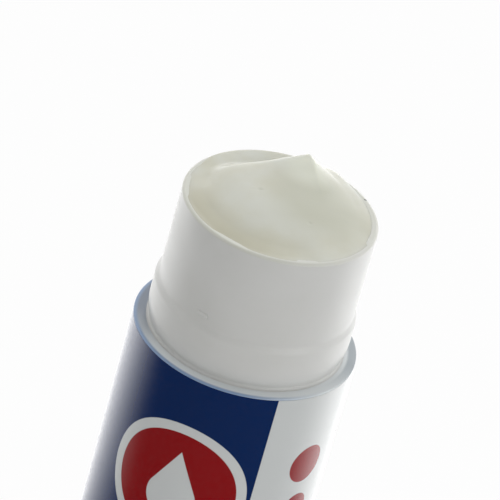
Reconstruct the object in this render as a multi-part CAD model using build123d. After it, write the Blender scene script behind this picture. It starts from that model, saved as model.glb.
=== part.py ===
from build123d import *
import math
import os

# Twist-up glue stick with its cap taken off and stood beside it.
# Millimetres, +Z up the stick's axis, origin at the centre of the foot it stands on.
# The label's front faces -Y, and the cap stands open end down on the +X side.

os.makedirs("parts", exist_ok=True)

# Shared clearances
overrun = 1.0
pick_tolerance = 0.05
running_gap = 0.1
snug_gap = 0.05
stop_gap = 0.3

# Barrel: the outer sleeve that carries the label and the ledge that the cap stops on
barrel_r = 13.0
barrel_wall = 1.3
barrel_length = 56.1
barrel_edge_round = 0.12
ledge_thickness = 1.5
top_lip_height = 0.15
bottom_lip_height = 0.9

# Label: a printed film in a shallow recess, with its seam at the back
label_thickness = 0.1
label_glue_line = 0.02
label_edge_gap = 0.05
label_seam_gap = 0.35
label_seam_angle = 7.0

# Inner tube: glue tube and neck in one, dropped through the ledge and seated on its collar
collar_stand = 0.42
neck_wall = 0.95
neck_height = 17.3
rim_outer_round = 0.35
rim_inner_round = 0.22
lower_wall = 0.65
collar_undercut = 0.5
collar_toe = 0.35
collar_height = 5.0
collar_flank_height = 2.6
collar_flank_share = 0.5
collar_step_height = 1.1
foot_height = 3.0
floor_thickness = 1.4
rib_width = 1.4
rib_depth = 0.6
rib_margin = 1.5

# Two snap nubs on the neck, which hold the cap
nub_count = 2
nub_first_angle = 243.0
nub_length = 1.3
nub_r = 0.35
nub_stand = 0.18
nub_height = 7.05

# Knob: the fluted twist base
knob_inset = 0.3
knob_height = 12.7
knob_wall = 1.3
knob_gap = 0.3
knob_floor = 1.6
knob_web = 1.3
knob_edge_round = 0.6
knob_band = 1.6
flute_count = 44
flute_r = 0.5
flute_stand = 0.12
spigot_height = 2.8
spigot_wall = 1.1
spigot_gap = 0.2
hub_wall = 1.7
foot_groove_depth = 0.6
foot_ring_width = 2.2
foot_pad_r = 4.0

# Spindle: the coarse left-hand screw that the knob turns
core_r = 2.9
crest_r = 3.9
thread_lead = 6.0
ridge_root_width = 1.9
ridge_crest_width = 0.9
ridge_embed = 0.25
thread_relief = 0.3
tip_length = 0.7
tip_round = 0.5
flange_r = 5.6
flange_height = 1.2
hex_flat_r = 3.2
hex_sides = 6
shank_lift = 4.6

# Carriage: the nut and piston that lifts the glue
boss_wall = 1.5
boss_length = 10.0
plate_thickness = 1.2
plate_lift = 4.5
piston_gap = 0.2
lip_wall = 0.7
lip_below = 0.6
lip_above = 1.8
top_margin = 7.9
lug_angle = 60.0
lug_gap = 0.25
lug_width_share = 0.5
fin_count = 4
fin_width = 0.9
fin_height = 5.0
fin_setback_share = 0.29

# Glue: the paste column with its worn, pulled-up top
glue_gap = 0.1
glue_edge_drop = 0.1
glue_base_clear = 0.1
dome_height = 2.2
crest_start_shares = (-0.62, 0.34)
crest_start_height = 0.25
crest_start_spread = 2.4
crest_rise_power = 2.0
crest_front_spread = 3.6
crest_back_spread = 1.7
peak_shares = (0.146, 0.71)
peak_height = 2.25
peak_spread = 2.8
peak_power = 1.2
hollow_depth = 1.7
hollow_run = 2.8
hollow_gap = 0.4
hollow_fold_share = -0.72
hollow_blend = 0.6
hollow_right_share = 0.12
hollow_front_share = -0.22
hollow_fade = 4.0
hollow_bank_start_share = 0.60
glue_grid_count = 41

# Cap, and where it stands
cap_height = 28.0
cap_top = 1.5
cap_wall = 1.12
cap_fit = 0.16
cap_edge_round = 1.3
cap_mouth_round = 0.3
cap_bead_height = 0.6
cap_bead_lift = 0.1
cap_bead_stand = 0.3
cap_rib_count = 8
cap_rib_width = 1.0
cap_rib_gap = 0.2
cap_grip_bottom = 9.0
cap_grip_margin = 3.2
cap_grip_count = 60
cap_grip_r = 0.45
cap_grip_stand = 0.2
cap_dish_margin = 4.0
cap_dish_depth = 0.4
cap_stand_gap = 8.0

# Levels up the axis
barrel_bottom = knob_height + knob_gap
ledge_z = barrel_bottom + barrel_length
rim_z = ledge_z + neck_height
spigot_top = knob_height + spigot_height
tube_bottom = spigot_top + stop_gap
floor_top = tube_bottom + floor_thickness
flange_bottom = floor_top + running_gap
flange_top = flange_bottom + flange_height
boss_bottom = flange_top + stop_gap
boss_top = boss_bottom + boss_length
plate_bottom = boss_bottom + plate_lift
plate_top = plate_bottom + plate_thickness
travel = rim_z - top_margin - plate_top
rib_top = plate_top + travel + rib_margin
thread_start = flange_top + thread_relief + ridge_root_width / 2
thread_height = travel + thread_lead
spindle_top = thread_start + thread_height + ridge_root_width / 2 + tip_length

# Radii that follow from walls and clearances
cap_bore_r = barrel_r - cap_wall
collar_r = cap_bore_r - cap_fit
collar_seat_r = collar_r - collar_undercut
neck_r = collar_r - collar_stand
knob_r = barrel_r - knob_inset
barrel_bore_r = barrel_r - barrel_wall
label_inner_r = barrel_r - label_thickness
label_seat_r = label_inner_r - label_glue_line
tube_bore_r = neck_r - neck_wall
tube_lower_r = tube_bore_r + lower_wall
journal_r = crest_r + snug_gap
hub_r = hex_flat_r / math.cos(math.pi / hex_sides) + hub_wall
piston_r = tube_bore_r - piston_gap
glue_r = tube_bore_r - glue_gap
spindle_clear_r = crest_r + lug_gap
boss_r = spindle_clear_r + boss_wall
fin_room = piston_r - lip_wall - boss_r
fin_setback = fin_room * fin_setback_share
fin_length = fin_room - 2 * fin_setback
slot_width = rib_width + 2 * piston_gap
slot_r = tube_bore_r - rib_depth - piston_gap
cap_x = 2 * barrel_r + cap_stand_gap


# Plain solids of revolution about the stick's axis
def rod(radius, bottom, top):
    return Pos(0, 0, bottom) * Cylinder(radius, top - bottom, align=(Align.CENTER, Align.CENTER, Align.MIN))


def ring(outer_r, inner_r, bottom, top):
    return rod(outer_r, bottom, top) - rod(inner_r, bottom - overrun, top + overrun)


# Round edges of a solid at one height and about one radius
def circles_at(solid, height, radius):
    found = []
    for edge in solid.edges().filter_by(GeomType.CIRCLE):
        at_height = abs(edge.center(CenterOf.BOUNDING_BOX).Z - height) < pick_tolerance
        if at_height and abs(edge.radius - radius) < pick_tolerance:
            found.append(edge)
    return found


# A band that crosses the axis along X, used for the two guide ribs and their slots
def guide_band(outer_r, inner_r, width, bottom, top):
    slab = Pos(0, 0, (bottom + top) / 2) * Box(2 * outer_r + overrun, width, top - bottom)
    return ring(outer_r, inner_r, bottom, top) & slab


# A left-hand helical ridge whose section tapers from its root to its crest
def helical_ridge(root_r, crest_radius, root_width, crest_width, start, height):
    path = Edge.make_helix(thread_lead, height, root_r, center=(0, 0, start), lefthand=True)
    section_plane = Plane(origin=path @ 0, x_dir=(1, 0, 0), z_dir=path % 0)
    depth = crest_radius - root_r
    corners = [
        (0, -root_width / 2),
        (depth, -crest_width / 2),
        (depth, crest_width / 2),
        (0, root_width / 2),
    ]
    section = section_plane * Polygon(*corners, align=None)
    return Solid.sweep(section.face(), path, is_frenet=True)


def make_barrel():
    body = rod(barrel_r, barrel_bottom, ledge_z)
    body = fillet(circles_at(body, ledge_z, barrel_r), barrel_edge_round)
    recess_bottom = barrel_bottom + bottom_lip_height
    recess_top = ledge_z - top_lip_height
    body -= ring(barrel_r + overrun, label_seat_r, recess_bottom, recess_top)
    body -= rod(barrel_bore_r, barrel_bottom - overrun, ledge_z - ledge_thickness)
    body -= rod(tube_lower_r + snug_gap, barrel_bottom, ledge_z + overrun)
    return body


def make_label():
    bottom = barrel_bottom + bottom_lip_height + label_edge_gap
    top = ledge_z - top_lip_height - label_edge_gap
    film = ring(barrel_r, label_inner_r, bottom, top)
    seam = Pos(0, barrel_r, (bottom + top) / 2) * Box(label_seam_gap, 2 * label_thickness + overrun, top - bottom)
    return film - Rot(0, 0, label_seam_angle) * seam


# The neck and collar above the ledge, as one turned outline
def neck_blank():
    toe = (collar_seat_r + collar_toe, ledge_z)
    toe_top = (collar_seat_r, ledge_z + collar_toe)
    flank_bend = (collar_r, ledge_z + collar_flank_height * collar_flank_share)
    flank_top = (collar_r, ledge_z + collar_flank_height)
    step_bottom = (collar_r, ledge_z + collar_height)
    step_top = (neck_r, ledge_z + collar_height + collar_step_height)
    step_middle_z = ledge_z + collar_height + collar_step_height / 2
    outline = [
        Bezier(toe, (collar_seat_r, ledge_z), toe_top),
        Bezier(toe_top, flank_bend, flank_top),
        Line(flank_top, step_bottom),
        Bezier(step_bottom, (collar_r, step_middle_z), (neck_r, step_middle_z), step_top),
        Line(step_top, (neck_r, rim_z)),
        Line((neck_r, rim_z), (0, rim_z)),
        Line((0, rim_z), (0, ledge_z)),
        Line((0, ledge_z), toe),
    ]
    return revolve(Plane.XZ * make_face(outline), Axis.Z)


def make_inner_tube():
    body = neck_blank() + rod(tube_lower_r, tube_bottom, ledge_z)
    body += rod(barrel_bore_r - snug_gap, tube_bottom, tube_bottom + foot_height)
    body -= rod(tube_bore_r, floor_top, rim_z + overrun)
    body = fillet(circles_at(body, rim_z, neck_r), rim_outer_round)
    body = fillet(circles_at(body, rim_z, tube_bore_r), rim_inner_round)
    body -= rod(journal_r + running_gap, tube_bottom - overrun, floor_top + overrun)
    body += guide_band(tube_bore_r + lower_wall / 2, tube_bore_r - rib_depth, rib_width, tube_bottom, rib_top)
    nub_centre_r = neck_r + nub_stand - nub_r
    nub = Pos(nub_centre_r, 0, ledge_z + nub_height) * Rot(90, 0, 0) * Cylinder(nub_r, nub_length)
    nub_step = 360 / nub_count
    for index in range(nub_count):
        body += Rot(0, 0, nub_first_angle + index * nub_step) * nub
    return body


def make_knob():
    web_bottom = knob_height - knob_web
    spigot_r = barrel_bore_r - spigot_gap
    spigot_bore_r = spigot_r - spigot_wall
    body = rod(knob_r, 0, knob_height)
    body = fillet(circles_at(body, 0, knob_r) + circles_at(body, knob_height, knob_r), knob_edge_round)
    flute = Pos(knob_r + flute_stand, 0, 0) * rod(flute_r, knob_band, knob_height - knob_band)
    flute_step = 360 / flute_count
    body -= [Rot(0, 0, index * flute_step) * flute for index in range(flute_count)]
    body += rod(spigot_r, web_bottom, spigot_top)
    body -= rod(knob_r - knob_wall, knob_floor, web_bottom)
    body -= rod(spigot_bore_r, web_bottom - overrun, spigot_top + overrun)
    hub_top = tube_bottom - running_gap
    body += rod(hub_r, knob_floor / 2, hub_top)
    socket_bottom = knob_floor + shank_lift - stop_gap
    socket_length = hub_top - socket_bottom + overrun
    socket = extrude(RegularPolygon(hex_flat_r + snug_gap, hex_sides, major_radius=False), socket_length)
    body -= Pos(0, 0, socket_bottom) * socket
    groove_outer_r = knob_r - foot_ring_width
    body -= ring(groove_outer_r, foot_pad_r, -overrun, foot_groove_depth)
    return body


def make_spindle():
    shank_bottom = knob_floor + shank_lift
    shank_top = tube_bottom - running_gap
    shank = extrude(RegularPolygon(hex_flat_r, hex_sides, major_radius=False), shank_top - shank_bottom)
    body = Pos(0, 0, shank_bottom) * shank
    body += rod(journal_r, shank_top, flange_bottom)
    body += rod(flange_r, flange_bottom, flange_top)
    core = rod(core_r, flange_bottom, spindle_top)
    core = fillet(circles_at(core, spindle_top, core_r), tip_round)
    body += core
    body += helical_ridge(
        core_r - ridge_embed, crest_r, ridge_root_width, ridge_crest_width, thread_start, thread_height
    )
    return body


# Two lugs of the nut lie half way between the turns of the thread, on opposite sides
def nut_lugs():
    root_width = (thread_lead - ridge_crest_width) * lug_width_share
    tip_width = (thread_lead - ridge_root_width) * lug_width_share
    start = thread_start + thread_lead / 2
    height = thread_lead * lug_angle / 360
    lug = helical_ridge(
        spindle_clear_r + boss_wall / 2,
        core_r + lug_gap,
        root_width,
        tip_width,
        start,
        height,
    )
    return [lug, Pos(0, 0, thread_lead / 2) * Rot(0, 0, 180) * lug]


def make_carriage():
    lip_bottom = plate_bottom - lip_below
    lip_top = plate_top + lip_above
    body = rod(piston_r, plate_bottom, plate_top)
    body += ring(piston_r, piston_r - lip_wall, lip_bottom, lip_top)
    body -= guide_band(tube_bore_r, slot_r, slot_width, lip_bottom - overrun, lip_top + overrun)
    body += rod(boss_r, boss_bottom, boss_top)
    body -= rod(spindle_clear_r, boss_bottom - overrun, boss_top + overrun)
    body += nut_lugs()
    fin = Pos(boss_r + fin_setback + fin_length / 2, 0, plate_bottom + fin_height / 2) * Box(
        fin_length, fin_width, fin_height
    )
    fin_step = 360 / fin_count
    for index in range(fin_count):
        body += Rot(0, 0, (index + 0.5) * fin_step) * fin
    return body


def ease(share):
    held = min(max(share, 0), 1)
    return held * held * (3 - 2 * held)


# Height of the paste above its edge: a dome, a crest that climbs to a peak, and a hollow behind it
def glue_height(x, y):
    dome = dome_height * (1 - (x * x + y * y) / (glue_r * glue_r))
    crest_start_x, crest_start_y = [share * glue_r for share in crest_start_shares]
    peak_x, peak_y = [share * glue_r for share in peak_shares]
    run_x = peak_x - crest_start_x
    run_y = peak_y - crest_start_y
    run = math.hypot(run_x, run_y)
    along = ((x - crest_start_x) * run_x + (y - crest_start_y) * run_y) / run
    behind = ((y - crest_start_y) * run_x - (x - crest_start_x) * run_y) / run
    climb = min(max(along / run, 0), 1) ** crest_rise_power
    top = crest_start_height + (peak_height - crest_start_height) * climb
    spread = crest_back_spread if behind > 0 else crest_front_spread
    past_peak = max(0, along - run) / peak_spread
    before_start = max(0, -along) / crest_start_spread
    crest = top * math.exp(-((behind / spread) ** 2) - past_peak ** peak_power - before_start ** 2)
    past_crest = math.exp((behind - hollow_gap) / hollow_blend)
    past_fold = math.exp((hollow_fold_share * glue_r - x) / hollow_blend)
    hollow = hollow_depth * ease(hollow_blend * math.log(past_crest + past_fold) / hollow_run)
    hollow *= ease((hollow_right_share * glue_r - x) / hollow_fade)
    hollow *= ease((y - hollow_front_share * glue_r) / hollow_fade)
    bank = ease((math.hypot(x, y) / glue_r - hollow_bank_start_share) / (1 - hollow_bank_start_share))
    hollow *= 1 - bank
    return dome + crest - hollow


def glue_top_face(edge_z):
    reach = glue_r + overrun
    step = 2 * reach / (glue_grid_count - 1)
    rows = []
    for row in range(glue_grid_count):
        y = -reach + row * step
        xs = [-reach + column * step for column in range(glue_grid_count)]
        rows.append([Vector(x, y, edge_z + glue_height(x, y)) for x in xs])
    return Face.make_surface_from_array_of_points(rows)


def make_glue():
    edge_z = rim_z - glue_edge_drop
    bottom = plate_top + snug_gap
    lip_clear_top = plate_top + lip_above + glue_base_clear
    tall_top = edge_z + dome_height + peak_height
    body = rod(glue_r, bottom, tall_top)
    top_face = glue_top_face(edge_z)
    waste = extrude(top_face, tall_top - edge_z + 2 * overrun, dir=(0, 0, 1))
    body -= waste
    body -= ring(glue_r + overrun, piston_r - lip_wall - glue_base_clear, bottom - overrun, lip_clear_top)
    body -= guide_band(glue_r + overrun, slot_r, slot_width, bottom - overrun, rib_top + piston_gap)
    body -= rod(boss_r + glue_base_clear, bottom - overrun, boss_top + glue_base_clear)
    body -= rod(spindle_clear_r, bottom, spindle_top + stop_gap)
    fin_slot = Pos(boss_r + fin_setback + fin_length / 2, 0, plate_bottom + fin_height / 2) * Box(
        fin_length + 2 * snug_gap, fin_width + 2 * snug_gap, fin_height + 2 * snug_gap
    )
    fin_step = 360 / fin_count
    for index in range(fin_count):
        body -= Rot(0, 0, (index + 0.5) * fin_step) * fin_slot
    return body


def make_cap():
    inside_top = cap_height - cap_top
    body = rod(barrel_r, 0, cap_height)
    body = fillet(circles_at(body, cap_height, barrel_r), cap_edge_round)
    body = fillet(circles_at(body, 0, barrel_r), cap_mouth_round)
    grip = Pos(barrel_r + cap_grip_stand, 0, 0) * rod(cap_grip_r, cap_grip_bottom, cap_height - cap_grip_margin)
    grip_step = 360 / cap_grip_count
    body -= [Rot(0, 0, index * grip_step) * grip for index in range(cap_grip_count)]
    body -= rod(barrel_r - cap_dish_margin, cap_height - cap_dish_depth, cap_height + overrun)
    body -= rod(cap_bore_r, -overrun, inside_top)
    bead_bottom = collar_height + collar_step_height + cap_bead_lift
    bead_inner_r = cap_bore_r - cap_bead_stand
    bead = ring(cap_bore_r + snug_gap, bead_inner_r, bead_bottom, bead_bottom + cap_bead_height)
    body += bead
    ribs = ring(cap_bore_r + snug_gap, neck_r + cap_rib_gap, bead_bottom + cap_bead_height, inside_top + snug_gap)
    slab = Pos(cap_bore_r, 0, cap_height / 2) * Box(cap_bore_r, cap_rib_width, cap_height)
    rib_step = 360 / cap_rib_count
    for index in range(cap_rib_count):
        body += ribs & (Rot(0, 0, index * rib_step) * slab)
    return Pos(cap_x, 0, 0) * body


makers = {
    "barrel": make_barrel,
    "label": make_label,
    "inner_tube": make_inner_tube,
    "knob": make_knob,
    "spindle": make_spindle,
    "carriage": make_carriage,
    "glue": make_glue,
    "cap": make_cap,
}

for node, maker in makers.items():
    export_step(maker(), f"parts/{node}.step")

print(f"ledge {ledge_z:.2f}, rim {rim_z:.2f}, travel {travel:.2f}, turns {travel / thread_lead:.3f}")
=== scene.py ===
import bpy
import math
from mathutils import Matrix, Vector, noise


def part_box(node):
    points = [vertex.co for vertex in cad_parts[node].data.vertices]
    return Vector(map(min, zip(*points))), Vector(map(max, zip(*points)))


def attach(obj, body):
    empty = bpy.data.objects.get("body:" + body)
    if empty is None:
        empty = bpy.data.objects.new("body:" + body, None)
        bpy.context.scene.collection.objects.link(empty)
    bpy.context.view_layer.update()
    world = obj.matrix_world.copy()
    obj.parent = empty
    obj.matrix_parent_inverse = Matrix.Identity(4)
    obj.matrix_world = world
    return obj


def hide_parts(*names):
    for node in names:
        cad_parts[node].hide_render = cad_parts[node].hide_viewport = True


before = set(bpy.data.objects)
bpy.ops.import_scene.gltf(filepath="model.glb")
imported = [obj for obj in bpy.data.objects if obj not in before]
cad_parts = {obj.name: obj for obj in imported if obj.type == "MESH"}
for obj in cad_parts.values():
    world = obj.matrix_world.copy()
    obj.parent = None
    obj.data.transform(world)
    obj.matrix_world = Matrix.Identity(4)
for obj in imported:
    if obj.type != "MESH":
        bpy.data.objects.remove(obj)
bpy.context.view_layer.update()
mm = 0.001

# Places that everything is set out from, read from the frame
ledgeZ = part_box("barrel")[1].z
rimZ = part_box("inner_tube")[1].z
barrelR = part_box("label")[1].x


# The camera stands where the picture was taken from: above the neck, rolled so that the stick leans right
cameraSettings = {
    "distance": 600 * mm,
    "elevation": math.radians(31.92),
    "roll": math.radians(15.80),
    "pixelsPerMetre": 8.891 / mm,
    "aimX": -2.01 * mm,
    "aimAboveLedge": 10.62 * mm,
    "framePixels": 500,
    "sensor": 36.0,
    "clipStart": 10 * mm,
}


def makeCamera(settings):
    aim = Vector((settings["aimX"], 0, ledgeZ + settings["aimAboveLedge"]))
    back = Vector((0, -math.cos(settings["elevation"]), math.sin(settings["elevation"])))
    right = Vector((1, 0, 0))
    up = back.cross(right)
    turn = Matrix.Rotation(settings["roll"], 3, back)
    data = bpy.data.cameras.new("photoCamera")
    data.sensor_width = settings["sensor"]
    focalPixels = settings["pixelsPerMetre"] * settings["distance"]
    data.lens = focalPixels * settings["sensor"] / settings["framePixels"]
    data.clip_start = settings["clipStart"]
    camera = bpy.data.objects.new("photoCamera", data)
    bpy.context.scene.collection.objects.link(camera)
    rotation = Matrix((turn @ right, turn @ up, back)).transposed().to_4x4()
    camera.matrix_world = Matrix.Translation(aim + back * settings["distance"]) @ rotation
    bpy.context.scene.camera = camera


makeCamera(cameraSettings)
print("camera placed")


# Shader maths: a wrapped socket, so that an expression on values adds its Math nodes
class Wire:
    def __init__(self, paint, socket):
        self.paint = paint
        self.socket = socket

    def maths(self, operation, *others):
        return self.paint.node("ShaderNodeMath", {"operation": operation}, dict(enumerate((self, *others))))

    def __add__(self, other):
        return self.maths("ADD", other)

    def __sub__(self, other):
        return self.maths("SUBTRACT", other)

    def __rsub__(self, other):
        return self * -1.0 + other

    def __mul__(self, other):
        return self.maths("MULTIPLY", other)

    def __truediv__(self, other):
        return self.maths("DIVIDE", other)

    def __pow__(self, other):
        return self.maths("POWER", other)

    def __abs__(self):
        return self.maths("ABSOLUTE")

    __radd__ = __add__
    __rmul__ = __mul__


# One material, or the surround, and its nodes
class Paint:
    def __init__(self, name, tree=None):
        if not tree:
            self.material = bpy.data.materials.new(name)
            self.material.use_nodes = True
            tree = self.material.node_tree
        self.tree = tree
        self.tree.nodes.clear()

    # Any node: its type, its settings, then the values or links of its sockets
    def node(self, kind, settings=None, sockets=None, out=0):
        made = self.tree.nodes.new(kind)
        for key, value in (settings or {}).items():
            setattr(made, key, value)
        for key, value in (sockets or {}).items():
            if isinstance(value, Wire):
                self.tree.links.new(value.socket, made.inputs[key])
            else:
                made.inputs[key].default_value = value
        return Wire(self, made.outputs[out]) if made.outputs else made

    def objectPoint(self):
        return self.node("ShaderNodeTexCoord", out="Object")

    def axes(self, point):
        return [self.node("ShaderNodeSeparateXYZ", None, {0: point}, out) for out in range(3)]

    def noise(self, point, scale, detail):
        sockets = {"Vector": point, "Scale": scale, "Detail": detail}
        return self.node("ShaderNodeTexNoise", None, sockets)

    # A value remapped smoothly from one range to another
    def ramp(self, value, low, high, toLow=0.0, toHigh=1.0):
        sockets = {"Value": value, "From Min": low, "From Max": high, "To Min": toLow, "To Max": toHigh}
        return self.node("ShaderNodeMapRange", {"interpolation_type": "SMOOTHSTEP"}, sockets)

    # A value that is one near a direction round the axis and falls to zero away from it, in degrees
    def beside(self, degrees, middle, reach):
        off = abs(degrees - middle)
        return self.ramp(off.maths("MINIMUM", 360 - off), *reach, 1.0, 0.0)

    def mix(self, share, first, second):
        first, second = [c if isinstance(c, Wire) else (*c, 1) for c in (first, second)]
        return self.node("ShaderNodeMix", {"data_type": "RGBA"}, {0: share, 6: first, 7: second}, out=2)

    def stretched(self, point, scale):
        return self.node("ShaderNodeMapping", None, {"Vector": point, "Scale": scale})

    def bump(self, height, distance, strength=1.0, normal=None):
        sockets = {"Height": height, "Distance": distance, "Strength": strength}
        if normal:
            sockets["Normal"] = normal
        return self.node("ShaderNodeBump", None, sockets)

    def finish(self, **sockets):
        named = {key.replace("_", " "): value for key, value in sockets.items()}
        shader = self.node("ShaderNodeBsdfPrincipled", None, named)
        self.node("ShaderNodeOutputMaterial", None, {"Surface": shader})
        return self.material


def cover(piece, material):
    piece.data.materials.clear()
    piece.data.materials.append(material)


# White neck: semi-gloss polypropylene, a little milky, with the cap's faint rub marks
neckFinish = {
    "colour": (0.63, 0.632, 0.615),
    "shade": (0.60, 0.602, 0.58),
    "roughness": (0.34, 0.38),
    "cloudScale": 90.0,
    "cloudDetail": 4,
    "cloudRange": (0.35, 0.75),
    "rubScale": (40.0, 40.0, 1300.0),
    "rubDetail": 3,
    "rubRange": (0.35, 0.65),
    "rubShare": 0.15,
    "grainScale": 5200.0,
    "grainDetail": 2,
    "grainDepth": 0.003 * mm,
    "film": (0.60, 0.605, 0.54),
    "filmBelow": (0.5 * mm, 0.1 * mm),
    "filmPatches": (0.3, 0.6, 0.5, 1.0),
    "speck": (0.12, 0.12, 0.11),
    "speckAt": (9.0 * mm, 6.3 * mm),
    "speckRadius": (0.12 * mm, 0.24 * mm),
    "body": {
        "Subsurface Weight": 0.2,
        "Subsurface Radius": (1.0, 0.97, 0.92),
        "Subsurface Scale": 0.5 * mm,
        "IOR": 1.49,
    },
}


def makeNeckPlastic(s):
    paint = Paint("neckPlastic")
    point = paint.objectPoint()
    cloud = paint.noise(point, s["cloudScale"], s["cloudDetail"])
    rub = paint.noise(paint.stretched(point, s["rubScale"]), 1.0, s["rubDetail"])
    grain = paint.noise(point, s["grainScale"], s["grainDetail"])
    colour = paint.mix(paint.ramp(cloud, *s["cloudRange"]), s["colour"], s["shade"])
    x, y, z = paint.axes(point)
    foot, full = s["filmBelow"]
    film = paint.ramp(z, rimZ - foot, rimZ - full) * paint.ramp(cloud, *s["filmPatches"])
    colour = paint.mix(film, colour, s["film"])
    speckX, speckY = s["speckAt"]
    offSpeck = ((x - speckX) ** 2.0 + (y - speckY) ** 2.0 + (z - rimZ) ** 2.0) ** 0.5
    colour = paint.mix(1 - paint.ramp(offSpeck, *s["speckRadius"]), colour, s["speck"])
    return paint.finish(
        Base_Color=colour,
        Roughness=paint.ramp(rub, *s["rubRange"], *s["roughness"]),
        Normal=paint.bump(grain + rub * s["rubShare"], s["grainDepth"]),
        **s["body"],
    )


# Ledge and sleeve: pale plastic, with painted shade in three zones round the ledge, given a blue cast where
# the navy film shows through.
# Directions are in degrees: 0 is the label's front, -90 the left and 90 the right. Radii are in millimetres.
barrelFinish = {
    "colour": (0.655, 0.69, 0.70),
    "leftTint": (0.165, 0.20, 0.26),
    "leftRadius": (11.1, 11.8),
    "leftMiddle": -105.0,
    "leftReach": (15.0, 60.0),
    "rightTint": (0.33, 0.37, 0.40),
    "rightRadius": (11.8, 12.2),
    "rightMiddle": 98.0,
    "rightReach": (10.0, 45.0),
    "lipTint": (0.21, 0.305, 0.475),
    "lipRadius": (12.4, 12.85),
    "lipMiddle": -50.0,
    "lipReach": (45.0, 110.0),
    "patches": (0.85, 0.3),
    "roughness": 0.30,
    "roughnessSpread": 0.1,
    "cloudScale": 140.0,
    "cloudDetail": 4,
    "grainScale": 4200.0,
    "grainDetail": 2,
    "grainDepth": 0.004 * mm,
}


def makeBarrelPlastic(s):
    paint = Paint("barrelPlastic")
    point = paint.objectPoint()
    x, y, z = paint.axes(point)
    cloud = paint.noise(point, s["cloudScale"], s["cloudDetail"])
    grain = paint.noise(point, s["grainScale"], s["grainDetail"])
    radius = (x * x + y * y) ** 0.5 / mm
    degrees = x.maths("ARCTAN2", y * -1.0) * (180 / math.pi)
    least, gain = s["patches"]
    colour = s["colour"]
    # Each zone darkens the ledge with painted shade: blue-grey at the left, grey at the right, bluer along
    # the lip
    for zone in ("left", "right", "lip"):
        beside = paint.beside(degrees, s[zone + "Middle"], s[zone + "Reach"])
        seen = beside * paint.ramp(radius, *s[zone + "Radius"]) * (least + cloud * gain)
        colour = paint.mix(seen, colour, s[zone + "Tint"])
    return paint.finish(
        Base_Color=colour,
        Roughness=s["roughness"] + (grain - 0.5) * s["roughnessSpread"],
        Normal=paint.bump(grain, s["grainDepth"]),
    )


# Paste: moist, ivory and faintly translucent, with smears and pits. It has painted shade over its middle and
# right and on its left-front slope, and a painted highlight on the front of its peak. Places are in
# millimetres and directions in degrees from +X.
glueFinish = {
    "colour": (0.595, 0.605, 0.54),
    "warm": (0.555, 0.55, 0.45),
    "leftSlopeShade": (0.49, 0.475, 0.365),
    "leftSlopeShadeRadius": (6.5, 10.2),
    "leftSlopeShadeMiddle": -130.0,
    "leftSlopeShadeReach": (20.0, 65.0),
    "worn": (0.49, 0.495, 0.405),
    "wornAt": (4.0, 0.5),
    "wornReach": (3.0, 8.0),
    # Painted highlight on the front of the peak
    "paintedHighlight": (0.66, 0.675, 0.58),
    "paintedHighlightAt": (1.7, 4.9),
    "paintedHighlightReach": (0.8, 3.8),
    "cloudScale": 150.0,
    "cloudDetail": 5,
    "cloudRange": (0.3, 0.7),
    "smearScale": (260.0, 120.0, 200.0),
    "smearDetail": 3,
    "smearRange": (0.3, 0.7),
    "smearDepth": 0.012 * mm,
    "pitScale": 700.0,
    "pitReach": (0.0, 0.22),
    "pitDepth": 0.01 * mm,
    "pitStrength": 0.5,
    "roughness": (0.19, 0.26),
    "body": {
        "Subsurface Weight": 0.4,
        "Subsurface Radius": (1.0, 0.96, 0.8),
        "Subsurface Scale": 0.8 * mm,
        "IOR": 1.42,
    },
}


def makeGluePaste(s):
    paint = Paint("gluePaste")
    point = paint.objectPoint()
    cloud = paint.noise(point, s["cloudScale"], s["cloudDetail"])
    smear = paint.noise(paint.stretched(point, s["smearScale"]), 1.0, s["smearDetail"])
    pits = paint.node("ShaderNodeTexVoronoi", {"feature": "F1"}, {"Vector": point, "Scale": s["pitScale"]})
    pit = 1 - paint.ramp(pits, *s["pitReach"])
    x, y, z = paint.axes(point)
    degrees = y.maths("ARCTAN2", x) * (180 / math.pi)
    # Painted shade on the paste's left-front slope, near its edge
    leftSlopeShade = paint.beside(degrees, s["leftSlopeShadeMiddle"], s["leftSlopeShadeReach"])
    leftSlopeShade = leftSlopeShade * paint.ramp((x * x + y * y) ** 0.5 / mm, *s["leftSlopeShadeRadius"])
    colour = paint.mix(paint.ramp(cloud, *s["cloudRange"]), s["colour"], s["warm"])
    # Painted shade over the middle and right of the paste, and a painted highlight on the front of the peak
    for zone in ("worn", "paintedHighlight"):
        atX, atY = s[zone + "At"]
        off = ((x / mm - atX) ** 2.0 + (y / mm - atY) ** 2.0) ** 0.5
        colour = paint.mix(paint.ramp(off, *s[zone + "Reach"], 1.0, 0.0), colour, s[zone])
    smeared = paint.bump(smear, s["smearDepth"])
    return paint.finish(
        Base_Color=paint.mix(leftSlopeShade, colour, s["leftSlopeShade"]),
        Roughness=paint.ramp(smear, *s["smearRange"], *s["roughness"]),
        Normal=paint.bump(pit * -1.0, s["pitDepth"], s["pitStrength"], smeared),
        **s["body"],
    )


# Printed film. Places are in millimetres, across from the label's front and up from the ledge: a panel's two
# edges, a disc's place and radius, a drop's foot, radius and tip, a row's place, sizes, pitch, top and bottom
labelPrint = {
    "navy": (0.0015, 0.019, 0.098),
    "red": (0.27, 0.003, 0.005),
    "white": (0.59, 0.61, 0.605),
    "panel": (-23.5, 5.9),
    "softness": 0.05,
    "disc": (-3.2, -14.8, 7.4),
    "ringR": 8.6,
    "drop": (-16.2, 3.0, 6.4),
    "spotsAcross": 12.6,
    "spots": ((-10.2, 2.5), (-16.4, 1.9), (-21.4, 1.4)),
    "dots": (-19.2, 0.33, 1.7, -5.0, -43.0),
    "gauge": (25.0, 1.8, 0.18, 5.0, -4.0, -44.0),
    "rules": (-32.0, 5.0, 0.14, 1.5, -14.0, -35.0),
    "footLine": -46.6,
    "footLineWidth": 0.5,
    "roughness": (0.16, 0.26),
    "grainScale": 2600.0,
    "grainDetail": 2,
    "grainRange": (0.3, 0.7),
    "grainDepth": 0.003 * mm,
    "body": {"IOR": 1.68},
}


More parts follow.
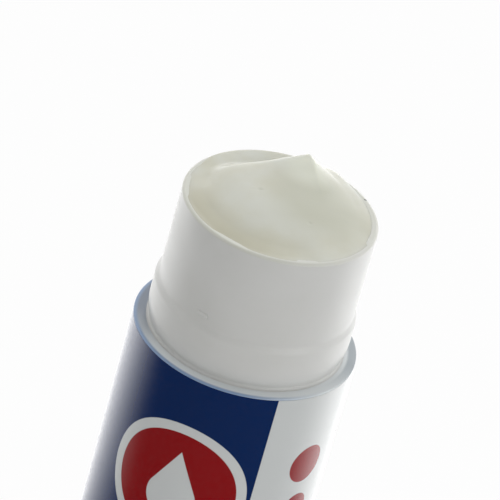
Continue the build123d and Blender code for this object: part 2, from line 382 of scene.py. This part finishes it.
def makeLabelFilm(s):
    paint = Paint("labelFilm")
    point = paint.objectPoint()
    x, y, z = paint.axes(point)
    across = x.maths("ARCTAN2", y * -1.0) * (barrelR / mm)
    up = (z - ledgeZ) / mm
    soft = s["softness"]

    def over(value, edge):
        return paint.ramp(value, edge - soft, edge + soft)

    def inside(distance, radius):
        return 1 - over(distance, radius)

    def away(u, v):
        return ((across - u) ** 2.0 + (up - v) ** 2.0) ** 0.5

    def between(low, high):
        return over(up, low) * inside(up, high)

    # How far a height is from the nearest line of an even row
    def fromLine(pitch):
        return abs((up / pitch).maths("FRACT") - 0.5) * pitch

    left, right = s["panel"]
    ink = paint.mix(over(across, left) * inside(across, right), s["white"], s["navy"])
    discAcross, discUp, discR = s["disc"]
    distance = away(discAcross, discUp)
    ink = paint.mix(inside(distance, s["ringR"]), ink, s["white"])
    ink = paint.mix(inside(distance, discR), ink, s["red"])

    # A drop: a disc below, whose sides run on straight to a point above
    dropFoot, dropR, dropTip = s["drop"]
    slope = dropR / math.sqrt(dropTip ** 2 - dropR ** 2)
    side = (dropFoot + dropTip - up).maths("MAXIMUM", 0.0) * slope
    taper = between(dropFoot + dropR ** 2 / dropTip, dropFoot + dropTip)
    taper = taper * inside(abs(across - discAcross) - side, 0.0)
    drop = inside(away(discAcross, dropFoot), dropR).maths("MAXIMUM", taper)
    ink = paint.mix(drop, ink, s["white"])

    for height, radius in s["spots"]:
        ink = paint.mix(inside(away(s["spotsAcross"], height), radius), ink, s["red"])
    dotsAcross, dotR, pitch, top, bottom = s["dots"]
    dots = inside(((across - dotsAcross) ** 2.0 + fromLine(pitch) ** 2.0) ** 0.5, dotR) * between(bottom, top)
    ink = paint.mix(dots, ink, s["white"])
    for key in ("gauge", "rules"):
        middle, halfLength, halfWidth, pitch, top, bottom = s[key]
        lines = inside(fromLine(pitch), halfWidth) * inside(abs(across - middle), halfLength)
        ink = paint.mix(lines * between(bottom, top), ink, s["navy"])
    ink = paint.mix(inside(up, s["footLine"]), ink, s["white"])
    ink = paint.mix(inside(up, s["footLine"] - s["footLineWidth"]), ink, s["red"])
    grain = paint.noise(point, s["grainScale"], s["grainDetail"])
    return paint.finish(
        Base_Color=ink,
        Roughness=paint.ramp(grain, *s["grainRange"], *s["roughness"]),
        Normal=paint.bump(grain, s["grainDepth"]),
        **s["body"],
    )


# Twist base and cap: satin navy polypropylene with a fine spark-eroded grain
colouredFinish = {
    "colour": (0.006, 0.030, 0.125),
    "worn": (0.016, 0.050, 0.165),
    "roughness": (0.34, 0.48),
    "roughRange": (0.3, 0.7),
    "cloudScale": 120.0,
    "cloudDetail": 5,
    "cloudRange": (0.45, 0.8),
    "grainScale": 3600.0,
    "grainDetail": 2,
    "grainDepth": 0.010 * mm,
}


def makeColouredPlastic(s):
    paint = Paint("colouredPlastic")
    point = paint.objectPoint()
    cloud = paint.noise(point, s["cloudScale"], s["cloudDetail"])
    grain = paint.noise(point, s["grainScale"], s["grainDetail"])
    return paint.finish(
        Base_Color=paint.mix(paint.ramp(cloud, *s["cloudRange"]), s["colour"], s["worn"]),
        Roughness=paint.ramp(cloud, *s["roughRange"], *s["roughness"]),
        Normal=paint.bump(grain, s["grainDepth"]),
    )


materials = {
    "neck": makeNeckPlastic(neckFinish),
    "barrel": makeBarrelPlastic(barrelFinish),
    "glue": makeGluePaste(glueFinish),
    "label": makeLabelFilm(labelPrint),
    "coloured": makeColouredPlastic(colouredFinish),
}
print("materials made")

nodeFinishes = {
    "barrel": "barrel",
    "label": "label",
    "inner_tube": "neck",
    "knob": "coloured",
    "spindle": "neck",
    "carriage": "neck",
    "glue": "glue",
    "cap": "coloured",
}
for node, finish in nodeFinishes.items():
    cover(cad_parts[node], materials[finish])
print("nodes dressed")


# What tells an end face from the sides and rings, and how near points are to be merged
endFacing = 0.9
endPoints = 100
mergeReach = 0.0005 * mm


# Puts a piece's place into its mesh, so that its object sits at the origin
def settle(piece):
    takeUp(piece)
    bpy.ops.object.transform_apply(location=True, rotation=True, scale=True)


def takeUp(piece):
    bpy.ops.object.select_all(action="DESELECT")
    piece.select_set(True)
    bpy.context.view_layer.objects.active = piece


# Selects the round end face that looks up (1) or down (-1) and enters edit mode
def selectEnd(piece, way):
    takeUp(piece)
    bpy.ops.object.mode_set(mode="EDIT")
    bpy.ops.mesh.select_mode(type="FACE")
    bpy.ops.mesh.select_all(action="DESELECT")
    bpy.ops.object.mode_set(mode="OBJECT")
    for face in piece.data.polygons:
        face.select = face.normal.z * way > endFacing and len(face.vertices) > endPoints
    bpy.ops.object.mode_set(mode="EDIT")


def finishPiece(piece, finish, body, creaseDegrees):
    takeUp(piece)
    bpy.ops.object.mode_set(mode="EDIT")
    bpy.ops.mesh.select_all(action="SELECT")
    bpy.ops.mesh.remove_doubles(threshold=mergeReach)
    bpy.ops.mesh.normals_make_consistent(inside=False)
    bpy.ops.object.mode_set(mode="OBJECT")
    bpy.ops.object.shade_smooth()
    bpy.ops.object.shade_smooth_by_angle(angle=math.radians(creaseDegrees))
    cover(piece, materials[finish])
    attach(piece, body)


# The paste's worn top: the same dome, crest, peak and hollow as the solid, with finer relief over it.
# Lengths are in millimetres, directions in degrees from +X, and places of the form are shares of its radius.
pasteForm = {
    "boreRadius": 10.33,
    "solidRadius": 10.25,
    "lipRadius": 10.86,
    "lipMiddle": -100.0,
    "lipReach": 150.0,
    "lipSteepness": 1.6,
    "lipWaves": 2.6,
    "lipWaveShares": (0.95, 0.7),
    "lipLeast": 0.5,
    "lipHeight": 0.10,
    "lipFallShare": 0.95,
    "backLipHeight": 0.24,
    "backLipMiddle": 105.0,
    "backLipReach": 75.0,
    "backLipSteepness": 2,
    "lipFrom": 0.86,
    "edgeDrop": 0.1,
    "lipDrop": 0.3,
    "lipZoneShare": 0.7,
    "lipSink": 0.08,
    "points": 240,
    "rings": 78,
    "crease": 40,
    "sameLevel": 0.01,
    "shoulderZ": 26.4,
    "footRadius": 9.35,
    "footZ": 24.55,
    "nutRadius": 5.75,
    "nutZ": 28.9,
    "screwRadius": 4.15,
    "screwZ": 81.7,
    "slotRadius": 9.55,
    "slotWidth": 1.8,
    "slotTop": 80.2,
    "domeHeight": 2.2,
    "crestStart": (-0.62, 0.34),
    "crestStartHeight": 0.25,
    "crestStartSpread": 2.4,
    "crestRisePower": 2.0,
    "crestFrontSpread": 3.6,
    "crestBackSpread": 1.7,
    "peak": (0.146, 0.71),
    "peakHeight": 2.25,
    "peakSpread": 2.8,
    "peakPower": 1.2,
    "hollowDepth": 1.7,
    "hollowRun": 2.8,
    "hollowGap": 0.4,
    "hollowFold": -0.72,
    "hollowBlend": 0.6,
    "hollowRight": 0.12,
    "hollowFront": -0.22,
    "hollowFade": 4.0,
    "hollowBankFrom": 0.60,
    "waveSize": 3.8,
    "waveHeight": 0.12,
    "streakSize": (1.3, 5.0),
    "streakSlant": 0.4,
    "streakHeight": 0.012,
    "wavePlane": 3.7,
    "streakPlane": 8.1,
    "lipPlane": 1.3,
    "pits": ((-2.7, -1.0, 0.24), (3.6, -4.2, 0.16)),
    "pitDepth": 0.08,
}


def ease(share):
    held = min(max(share, 0), 1)
    return held * held * (3 - 2 * held)


# Height of the paste over a point, in millimetres above its edge
def pasteHeight(s, x, y):
    radius = s["solidRadius"]
    dome = s["domeHeight"] * (1 - (x * x + y * y) / radius ** 2)
    startX, startY = [share * radius for share in s["crestStart"]]
    peakX, peakY = [share * radius for share in s["peak"]]
    run = math.hypot(peakX - startX, peakY - startY)
    runX, runY = (peakX - startX) / run, (peakY - startY) / run
    along = (x - startX) * runX + (y - startY) * runY
    behind = (y - startY) * runX - (x - startX) * runY
    climb = min(max(along / run, 0), 1) ** s["crestRisePower"]
    top = s["crestStartHeight"] + (s["peakHeight"] - s["crestStartHeight"]) * climb
    spread = s["crestBackSpread"] if behind > 0 else s["crestFrontSpread"]
    pastPeak = max(0, along - run) / s["peakSpread"]
    beforeStart = max(0, -along) / s["crestStartSpread"]
    crest = top * math.exp(-((behind / spread) ** 2) - pastPeak ** s["peakPower"] - beforeStart ** 2)
    pastCrest = math.exp((behind - s["hollowGap"]) / s["hollowBlend"])
    pastFold = math.exp((s["hollowFold"] * radius - x) / s["hollowBlend"])
    hollow = s["hollowDepth"] * ease(s["hollowBlend"] * math.log(pastCrest + pastFold) / s["hollowRun"])
    hollow *= ease((s["hollowRight"] * radius - x) / s["hollowFade"])
    hollow *= ease((y - s["hollowFront"] * radius) / s["hollowFade"])
    bank = ease((math.hypot(x, y) / radius - s["hollowBankFrom"]) / (1 - s["hollowBankFrom"]))
    hollow *= 1 - bank
    return dome + crest - hollow


# Slow waves, fine streaks across the front, and a few burst bubbles
def pasteRelief(s, x, y):
    wave = noise.noise((x / s["waveSize"], y / s["waveSize"], s["wavePlane"])) * s["waveHeight"]
    acrossSize, alongSize = s["streakSize"]
    slant = s["streakSlant"]
    streakPoint = ((x + y * slant) / alongSize, (y - x * slant) / acrossSize, s["streakPlane"])
    streak = noise.noise(streakPoint) * s["streakHeight"]
    pit = 0
    for pitX, pitY, pitR in s["pits"]:
        pit += s["pitDepth"] * math.exp(-((x - pitX) ** 2 + (y - pitY) ** 2) / pitR ** 2)
    return wave + streak - pit


# How near an angle is to a direction: one along it, falling to zero at the reach, in degrees
def nearness(angle, middle, reach):
    off = (math.degrees(angle) - middle + 180) % 360 - 180
    return 1 - abs(off) / reach


# How much paste is piled up on the rim at the back, from none to fully
def backLip(s, angle):
    return ease(s["backLipSteepness"] * nearness(angle, s["backLipMiddle"], s["backLipReach"]))


# How far the paste is smeared over the rim, from none to fully, in each direction
def lipAmount(s, x, y):
    angle = math.atan2(y, x)
    waves = s["lipWaves"]
    rough = noise.noise((math.cos(angle) * waves, math.sin(angle) * waves, s["lipPlane"]))
    plain, wavy = s["lipWaveShares"]
    front = ease(s["lipSteepness"] * nearness(angle, s["lipMiddle"], s["lipReach"])) * (plain + wavy * rough)
    return min(max(front, backLip(s, angle), s["lipLeast"]), 1)


# How much wider than the solid the paste is at its edge
def lipSpread(s, lip):
    return (s["boreRadius"] + (s["lipRadius"] - s["boreRadius"]) * lip) / s["solidRadius"]


def pasteTopPoint(s, x, y, edge, lip):
    share = math.hypot(x, y) / s["solidRadius"]
    outer = ease((share - s["lipFrom"]) / (1 - s["lipFrom"]))
    spread = 1 + (lipSpread(s, lip) - 1) * outer
    height = edge + pasteHeight(s, x, y) + pasteRelief(s, x, y)
    lipZ = rimZ / mm + s["lipHeight"] * (1 - s["lipFallShare"] * outer)
    lipZ += s["backLipHeight"] * backLip(s, math.atan2(y, x))
    return Vector((x * spread, y * spread, height + max(0, lipZ - height) * lip * outer))


def inset(thickness):
    bpy.ops.mesh.inset(thickness=thickness * mm, depth=0)


def pushTo(fromZ, toZ):
    bpy.ops.mesh.extrude_region_move(TRANSFORM_OT_translate={"value": (0, 0, (toZ - fromZ) * mm)})


# A cylinder whose foot is stepped for the piston and bored for the nut and screw, and whose top is ringed
def makePaste(s):
    bpy.ops.object.select_all(action="DESELECT")
    edge = rimZ / mm - s["edgeDrop"]
    bottom = s["shoulderZ"]
    radius = s["solidRadius"]
    bpy.ops.mesh.primitive_cylinder_add(
        vertices=s["points"],
        radius=radius * mm,
        depth=(edge - bottom) * mm,
        location=(0, 0, (edge + bottom) / 2 * mm),
    )
    piece = bpy.context.object
    piece.name = "pasteColumn"
    settle(piece)
    selectEnd(piece, -1)
    inset(radius - s["footRadius"])
    pushTo(bottom, s["footZ"])
    inset(s["footRadius"] - s["nutRadius"])
    pushTo(s["footZ"], s["nutZ"])
    inset(s["nutRadius"] - s["screwRadius"])
    pushTo(s["nutZ"], s["screwZ"])
    bpy.ops.object.mode_set(mode="OBJECT")
    selectEnd(piece, 1)
    for ring in range(s["rings"]):
        inset(radius / (s["rings"] + 1))
    bpy.ops.mesh.poke()
    for level in (s["slotTop"], edge - s["lipDrop"], edge - s["lipDrop"] / 2):
        bpy.ops.mesh.select_all(action="SELECT")
        bpy.ops.mesh.bisect(plane_co=(0, 0, level * mm), plane_no=(0, 0, 1))
    bpy.ops.object.mode_set(mode="OBJECT")
    for point in piece.data.vertices:
        x, y, z = point.co / mm
        lip = lipAmount(s, x, y)
        if z > edge - s["sameLevel"]:
            point.co = pasteTopPoint(s, x, y, edge, lip) * mm
        elif z > edge - s["lipDrop"] * s["lipZoneShare"]:
            spread = lipSpread(s, lip)
            point.co = Vector((x * spread, y * spread, z + (rimZ / mm - s["lipSink"] - z) * lip)) * mm
        elif z < s["slotTop"] + s["sameLevel"] and abs(y) < s["slotWidth"] / 2 and abs(x) > s["slotRadius"]:
            point.co.x = math.copysign(s["slotRadius"], x) * mm
    finishPiece(piece, "glue", "carriage_body", s["crease"])
    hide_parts("glue")


makePaste(pasteForm)
print("paste shaped")


# A pale floor, soft lamps and a white surround whose front, where the camera stands, is dim in reflections.
# A ramp along Y goes from one place to another and from one level to another.
studio = {
    "floorSize": 8.0,
    "floorColour": (0.80, 0.80, 0.80),
    "floorWhiteShare": 0.94,
    "floorGloss": (-40 * mm, 70 * mm, 0.02, 1.9),
    "ambient": (-0.6, 0.8, 0.34, 1.2),
    "gloss": (-0.4, 0.6, 0.05, 1.7),
    "lamps": {
        "rightWindow": {"at": (0.60, -0.44, 0.30), "size": 0.6, "power": 1.8},
        "backWindow": {"at": (0.05, 0.42, 0.85), "size": 0.8, "power": 1.0},
        "frontCard": {"at": (0.10, -0.70, 0.45), "size": 0.6, "power": 0.5},
        "leftCard": {"at": (-0.60, -0.20, 0.30), "size": 0.5, "power": 0.3},
    },
}


def rayIs(paint, name):
    return paint.node("ShaderNodeLightPath", out=name)


def makeFloor(s):
    bpy.ops.object.select_all(action="DESELECT")
    bpy.ops.mesh.primitive_plane_add(size=s["floorSize"])
    floor = bpy.context.object
    floor.name = "floor"
    paint = Paint("paleFloor")
    matt = paint.node("ShaderNodeBsdfDiffuse", None, {"Color": (*s["floorColour"], 1)})
    white = paint.node("ShaderNodeEmission", None, {"Color": (1, 1, 1, 1)})
    y = paint.axes(paint.objectPoint())[1]
    card = paint.node("ShaderNodeEmission", None, {"Color": paint.ramp(y, *s["floorGloss"])})
    seen = rayIs(paint, "Is Camera Ray") * s["floorWhiteShare"]
    shader = paint.node("ShaderNodeMixShader", None, {0: seen, 1: matt, 2: white})
    shader = paint.node("ShaderNodeMixShader", None, {0: rayIs(paint, "Is Glossy Ray"), 1: shader, 2: card})
    paint.node("ShaderNodeOutputMaterial", None, {"Surface": shader})
    cover(floor, paint.material)


def makeWorld(s):
    world = bpy.data.worlds.new("surround")
    bpy.context.scene.world = world
    world.use_nodes = True
    paint = Paint(None, world.node_tree)
    y = paint.axes(paint.node("ShaderNodeTexCoord", out="Generated"))[1]
    camera = rayIs(paint, "Is Camera Ray").maths("MAXIMUM", rayIs(paint, "Is Transmission Ray"))
    gloss = rayIs(paint, "Is Glossy Ray")
    plain = (1 - gloss) * paint.ramp(y, *s["ambient"]) + gloss * paint.ramp(y, *s["gloss"])
    sky = paint.node("ShaderNodeBackground", None, {"Color": camera + (1 - camera) * plain})
    paint.node("ShaderNodeOutputWorld", None, {"Surface": sky})


def makeLamps(s):
    aim = Vector((0, 0, ledgeZ))
    for name, lamp in s["lamps"].items():
        data = bpy.data.lights.new(name, "AREA")
        data.size = lamp["size"]
        data.energy = lamp["power"]
        made = bpy.data.objects.new(name, data)
        bpy.context.scene.collection.objects.link(made)
        made.location = lamp["at"]
        made.rotation_euler = (aim - made.location).to_track_quat("-Z", "Y").to_euler()


makeFloor(studio)
makeWorld(studio)
makeLamps(studio)
bpy.context.scene.view_settings.view_transform = "Standard"
print("studio lit")
